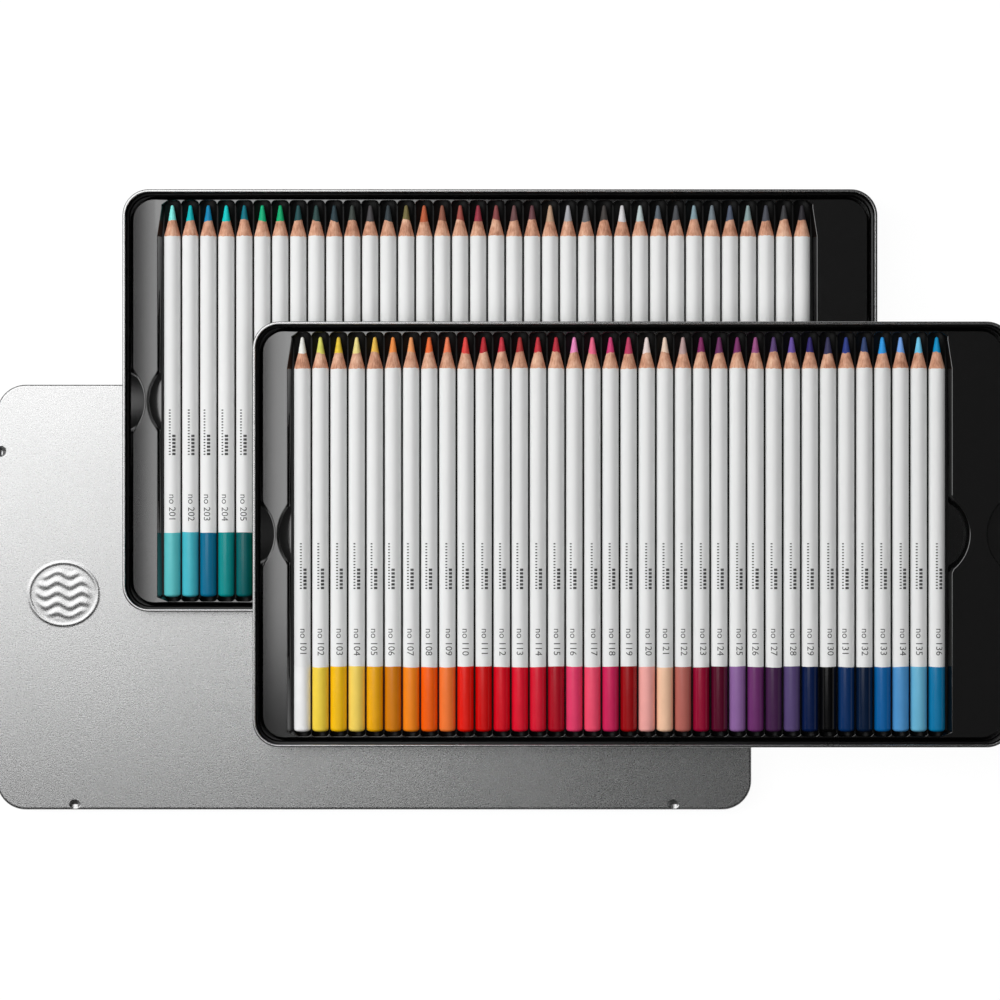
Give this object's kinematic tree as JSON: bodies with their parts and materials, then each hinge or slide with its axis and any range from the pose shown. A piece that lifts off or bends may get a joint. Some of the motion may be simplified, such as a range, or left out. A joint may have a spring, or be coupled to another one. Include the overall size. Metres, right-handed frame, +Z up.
{
  "type": "watercolor pencil set",
  "caption": "Flat tin pencil set, opened and fanned out: a pressed lid and two shallow trays, each with a black grooved insert full of round pencils that lift out.",
  "frame": {"origin": "on the table under the middle of the fanned-out set", "axes": "+X along the trays to the right, +Y towards the pencils' tips, +Z up from the table"},
  "size_m": [0.452, 0.2768, 0.0332],
  "materials": {
    "lid_tin": "satin",
    "tray_tin": "black lacquer, bright rim",
    "insert_plastic": "satin",
    "covered_pencils": "white lacquer",
    "pencil_aqua": "white lacquer, dipped in this colour",
    "pencil_lagoon": "white lacquer, dipped in this colour",
    "pencil_turquoise": "white lacquer, dipped in this colour",
    "pencil_jade": "white lacquer, dipped in this colour",
    "pencil_petrol": "white lacquer, dipped in this colour",
    "pencil_white": "white lacquer, dipped in this colour",
    "pencil_lime": "white lacquer, dipped in this colour",
    "pencil_lemon": "white lacquer, dipped in this colour",
    "pencil_straw": "white lacquer, dipped in this colour",
    "pencil_gold": "white lacquer, dipped in this colour",
    "pencil_amber": "white lacquer, dipped in this colour",
    "pencil_apricot": "white lacquer, dipped in this colour",
    "pencil_orange": "white lacquer, dipped in this colour",
    "pencil_coral": "white lacquer, dipped in this colour",
    "pencil_scarlet": "white lacquer, dipped in this colour",
    "pencil_red": "white lacquer, dipped in this colour",
    "pencil_ruby": "white lacquer, dipped in this colour",
    "pencil_vermilion": "white lacquer, dipped in this colour",
    "pencil_cherry": "white lacquer, dipped in this colour",
    "pencil_crimson": "white lacquer, dipped in this colour",
    "pencil_pink": "white lacquer, dipped in this colour",
    "pencil_rose": "white lacquer, dipped in this colour",
    "pencil_fuchsia": "white lacquer, dipped in this colour",
    "pencil_raspberry": "white lacquer, dipped in this colour",
    "pencil_blush": "white lacquer, dipped in this colour",
    "pencil_peach": "white lacquer, dipped in this colour",
    "pencil_mauve": "white lacquer, dipped in this colour",
    "pencil_wine": "white lacquer, dipped in this colour",
    "pencil_aubergine": "white lacquer, dipped in this colour",
    "pencil_lilac": "white lacquer, dipped in this colour",
    "pencil_plum": "white lacquer, dipped in this colour",
    "pencil_grape": "white lacquer, dipped in this colour",
    "pencil_violet": "white lacquer, dipped in this colour",
    "pencil_ultramarine": "white lacquer, dipped in this colour",
    "pencil_midnight": "white lacquer, dipped in this colour",
    "pencil_cobalt": "white lacquer, dipped in this colour",
    "pencil_navy": "white lacquer, dipped in this colour",
    "pencil_cerulean": "white lacquer, dipped in this colour",
    "pencil_cornflower": "white lacquer, dipped in this colour",
    "pencil_sky": "white lacquer, dipped in this colour",
    "pencil_azure": "white lacquer, dipped in this colour"
  },
  "bodies": {
    "lid": {"lid": "lid_tin"},
    "back_tray": {"back_tray": "tray_tin"},
    "back_insert": {"back_insert": "insert_plastic", "back_pencils_06_to_09": "covered_pencils", "back_pencils_10_to_13": "covered_pencils", "back_pencils_14_to_17": "covered_pencils", "back_pencils_18_to_21": "covered_pencils", "back_pencils_22_to_25": "covered_pencils", "back_pencils_26_to_29": "covered_pencils", "back_pencils_30_to_33": "covered_pencils", "back_pencils_34_to_36": "covered_pencils"},
    "front_tray": {"front_tray": "tray_tin"},
    "front_insert": {"front_insert": "insert_plastic"},
    "back_pencil_01_aqua": {"back_pencil_01_aqua": "pencil_aqua"},
    "back_pencil_02_lagoon": {"back_pencil_02_lagoon": "pencil_lagoon"},
    "back_pencil_03_turquoise": {"back_pencil_03_turquoise": "pencil_turquoise"},
    "back_pencil_04_jade": {"back_pencil_04_jade": "pencil_jade"},
    "back_pencil_05_petrol": {"back_pencil_05_petrol": "pencil_petrol"},
    "pencil_01_white": {"pencil_01_white": "pencil_white"},
    "pencil_02_lime": {"pencil_02_lime": "pencil_lime"},
    "pencil_03_lemon": {"pencil_03_lemon": "pencil_lemon"},
    "pencil_04_straw": {"pencil_04_straw": "pencil_straw"},
    "pencil_05_gold": {"pencil_05_gold": "pencil_gold"},
    "pencil_06_amber": {"pencil_06_amber": "pencil_amber"},
    "pencil_07_apricot": {"pencil_07_apricot": "pencil_apricot"},
    "pencil_08_orange": {"pencil_08_orange": "pencil_orange"},
    "pencil_09_coral": {"pencil_09_coral": "pencil_coral"},
    "pencil_10_scarlet": {"pencil_10_scarlet": "pencil_scarlet"},
    "pencil_11_red": {"pencil_11_red": "pencil_red"},
    "pencil_12_ruby": {"pencil_12_ruby": "pencil_ruby"},
    "pencil_13_vermilion": {"pencil_13_vermilion": "pencil_vermilion"},
    "pencil_14_cherry": {"pencil_14_cherry": "pencil_cherry"},
    "pencil_15_crimson": {"pencil_15_crimson": "pencil_crimson"},
    "pencil_16_pink": {"pencil_16_pink": "pencil_pink"},
    "pencil_17_rose": {"pencil_17_rose": "pencil_rose"},
    "pencil_18_fuchsia": {"pencil_18_fuchsia": "pencil_fuchsia"},
    "pencil_19_raspberry": {"pencil_19_raspberry": "pencil_raspberry"},
    "pencil_20_blush": {"pencil_20_blush": "pencil_blush"},
    "pencil_21_peach": {"pencil_21_peach": "pencil_peach"},
    "pencil_22_mauve": {"pencil_22_mauve": "pencil_mauve"},
    "pencil_23_wine": {"pencil_23_wine": "pencil_wine"},
    "pencil_24_aubergine": {"pencil_24_aubergine": "pencil_aubergine"},
    "pencil_25_lilac": {"pencil_25_lilac": "pencil_lilac"},
    "pencil_26_plum": {"pencil_26_plum": "pencil_plum"},
    "pencil_27_grape": {"pencil_27_grape": "pencil_grape"},
    "pencil_28_violet": {"pencil_28_violet": "pencil_violet"},
    "pencil_29_ultramarine": {"pencil_29_ultramarine": "pencil_ultramarine"},
    "pencil_30_midnight": {"pencil_30_midnight": "pencil_midnight"},
    "pencil_31_cobalt": {"pencil_31_cobalt": "pencil_cobalt"},
    "pencil_32_navy": {"pencil_32_navy": "pencil_navy"},
    "pencil_33_cerulean": {"pencil_33_cerulean": "pencil_cerulean"},
    "pencil_34_cornflower": {"pencil_34_cornflower": "pencil_cornflower"},
    "pencil_35_sky": {"pencil_35_sky": "pencil_sky"},
    "pencil_36_azure": {"pencil_36_azure": "pencil_azure"}
  },
  "joints": [
    {"name": "back_tray_lift", "type": "slide", "parent": "lid", "child": "back_tray", "axis": [0, 0, 1], "range_m": [0, 0.06]},
    {"name": "back_insert_lift", "type": "slide", "parent": "back_tray", "child": "back_insert", "axis": [0, 0, 1], "range_m": [0, 0.04]},
    {"name": "front_tray_lift", "type": "slide", "parent": "back_insert", "child": "front_tray", "axis": [0, 0, 1], "range_m": [0, 0.06]},
    {"name": "front_insert_lift", "type": "slide", "parent": "front_tray", "child": "front_insert", "axis": [0, 0, 1], "range_m": [0, 0.04]},
    {"name": "back_pencil_01_aqua_lift", "type": "slide", "parent": "back_insert", "child": "back_pencil_01_aqua", "axis": [0, 0, 1], "range_m": [0, 0.03]},
    {"name": "back_pencil_02_lagoon_lift", "type": "slide", "parent": "back_insert", "child": "back_pencil_02_lagoon", "axis": [0, 0, 1], "range_m": [0, 0.03]},
    {"name": "back_pencil_03_turquoise_lift", "type": "slide", "parent": "back_insert", "child": "back_pencil_03_turquoise", "axis": [0, 0, 1], "range_m": [0, 0.03]},
    {"name": "back_pencil_04_jade_lift", "type": "slide", "parent": "back_insert", "child": "back_pencil_04_jade", "axis": [0, 0, 1], "range_m": [0, 0.03]},
    {"name": "back_pencil_05_petrol_lift", "type": "slide", "parent": "back_insert", "child": "back_pencil_05_petrol", "axis": [0, 0, 1], "range_m": [0, 0.03]},
    {"name": "pencil_01_white_lift", "type": "slide", "parent": "front_insert", "child": "pencil_01_white", "axis": [0, 0, 1], "range_m": [0, 0.03]},
    {"name": "pencil_02_lime_lift", "type": "slide", "parent": "front_insert", "child": "pencil_02_lime", "axis": [0, 0, 1], "range_m": [0, 0.03]},
    {"name": "pencil_03_lemon_lift", "type": "slide", "parent": "front_insert", "child": "pencil_03_lemon", "axis": [0, 0, 1], "range_m": [0, 0.03]},
    {"name": "pencil_04_straw_lift", "type": "slide", "parent": "front_insert", "child": "pencil_04_straw", "axis": [0, 0, 1], "range_m": [0, 0.03]},
    {"name": "pencil_05_gold_lift", "type": "slide", "parent": "front_insert", "child": "pencil_05_gold", "axis": [0, 0, 1], "range_m": [0, 0.03]},
    {"name": "pencil_06_amber_lift", "type": "slide", "parent": "front_insert", "child": "pencil_06_amber", "axis": [0, 0, 1], "range_m": [0, 0.03]},
    {"name": "pencil_07_apricot_lift", "type": "slide", "parent": "front_insert", "child": "pencil_07_apricot", "axis": [0, 0, 1], "range_m": [0, 0.03]},
    {"name": "pencil_08_orange_lift", "type": "slide", "parent": "front_insert", "child": "pencil_08_orange", "axis": [0, 0, 1], "range_m": [0, 0.03]},
    {"name": "pencil_09_coral_lift", "type": "slide", "parent": "front_insert", "child": "pencil_09_coral", "axis": [0, 0, 1], "range_m": [0, 0.03]},
    {"name": "pencil_10_scarlet_lift", "type": "slide", "parent": "front_insert", "child": "pencil_10_scarlet", "axis": [0, 0, 1], "range_m": [0, 0.03]},
    {"name": "pencil_11_red_lift", "type": "slide", "parent": "front_insert", "child": "pencil_11_red", "axis": [0, 0, 1], "range_m": [0, 0.03]},
    {"name": "pencil_12_ruby_lift", "type": "slide", "parent": "front_insert", "child": "pencil_12_ruby", "axis": [0, 0, 1], "range_m": [0, 0.03]},
    {"name": "pencil_13_vermilion_lift", "type": "slide", "parent": "front_insert", "child": "pencil_13_vermilion", "axis": [0, 0, 1], "range_m": [0, 0.03]},
    {"name": "pencil_14_cherry_lift", "type": "slide", "parent": "front_insert", "child": "pencil_14_cherry", "axis": [0, 0, 1], "range_m": [0, 0.03]},
    {"name": "pencil_15_crimson_lift", "type": "slide", "parent": "front_insert", "child": "pencil_15_crimson", "axis": [0, 0, 1], "range_m": [0, 0.03]},
    {"name": "pencil_16_pink_lift", "type": "slide", "parent": "front_insert", "child": "pencil_16_pink", "axis": [0, 0, 1], "range_m": [0, 0.03]},
    {"name": "pencil_17_rose_lift", "type": "slide", "parent": "front_insert", "child": "pencil_17_rose", "axis": [0, 0, 1], "range_m": [0, 0.03]},
    {"name": "pencil_18_fuchsia_lift", "type": "slide", "parent": "front_insert", "child": "pencil_18_fuchsia", "axis": [0, 0, 1], "range_m": [0, 0.03]},
    {"name": "pencil_19_raspberry_lift", "type": "slide", "parent": "front_insert", "child": "pencil_19_raspberry", "axis": [0, 0, 1], "range_m": [0, 0.03]},
    {"name": "pencil_20_blush_lift", "type": "slide", "parent": "front_insert", "child": "pencil_20_blush", "axis": [0, 0, 1], "range_m": [0, 0.03]},
    {"name": "pencil_21_peach_lift", "type": "slide", "parent": "front_insert", "child": "pencil_21_peach", "axis": [0, 0, 1], "range_m": [0, 0.03]},
    {"name": "pencil_22_mauve_lift", "type": "slide", "parent": "front_insert", "child": "pencil_22_mauve", "axis": [0, 0, 1], "range_m": [0, 0.03]},
    {"name": "pencil_23_wine_lift", "type": "slide", "parent": "front_insert", "child": "pencil_23_wine", "axis": [0, 0, 1], "range_m": [0, 0.03]},
    {"name": "pencil_24_aubergine_lift", "type": "slide", "parent": "front_insert", "child": "pencil_24_aubergine", "axis": [0, 0, 1], "range_m": [0, 0.03]},
    {"name": "pencil_25_lilac_lift", "type": "slide", "parent": "front_insert", "child": "pencil_25_lilac", "axis": [0, 0, 1], "range_m": [0, 0.03]},
    {"name": "pencil_26_plum_lift", "type": "slide", "parent": "front_insert", "child": "pencil_26_plum", "axis": [0, 0, 1], "range_m": [0, 0.03]},
    {"name": "pencil_27_grape_lift", "type": "slide", "parent": "front_insert", "child": "pencil_27_grape", "axis": [0, 0, 1], "range_m": [0, 0.03]},
    {"name": "pencil_28_violet_lift", "type": "slide", "parent": "front_insert", "child": "pencil_28_violet", "axis": [0, 0, 1], "range_m": [0, 0.03]},
    {"name": "pencil_29_ultramarine_lift", "type": "slide", "parent": "front_insert", "child": "pencil_29_ultramarine", "axis": [0, 0, 1], "range_m": [0, 0.03]},
    {"name": "pencil_30_midnight_lift", "type": "slide", "parent": "front_insert", "child": "pencil_30_midnight", "axis": [0, 0, 1], "range_m": [0, 0.03]},
    {"name": "pencil_31_cobalt_lift", "type": "slide", "parent": "front_insert", "child": "pencil_31_cobalt", "axis": [0, 0, 1], "range_m": [0, 0.03]},
    {"name": "pencil_32_navy_lift", "type": "slide", "parent": "front_insert", "child": "pencil_32_navy", "axis": [0, 0, 1], "range_m": [0, 0.03]},
    {"name": "pencil_33_cerulean_lift", "type": "slide", "parent": "front_insert", "child": "pencil_33_cerulean", "axis": [0, 0, 1], "range_m": [0, 0.03]},
    {"name": "pencil_34_cornflower_lift", "type": "slide", "parent": "front_insert", "child": "pencil_34_cornflower", "axis": [0, 0, 1], "range_m": [0, 0.03]},
    {"name": "pencil_35_sky_lift", "type": "slide", "parent": "front_insert", "child": "pencil_35_sky", "axis": [0, 0, 1], "range_m": [0, 0.03]},
    {"name": "pencil_36_azure_lift", "type": "slide", "parent": "front_insert", "child": "pencil_36_azure", "axis": [0, 0, 1], "range_m": [0, 0.03]}
  ]
}
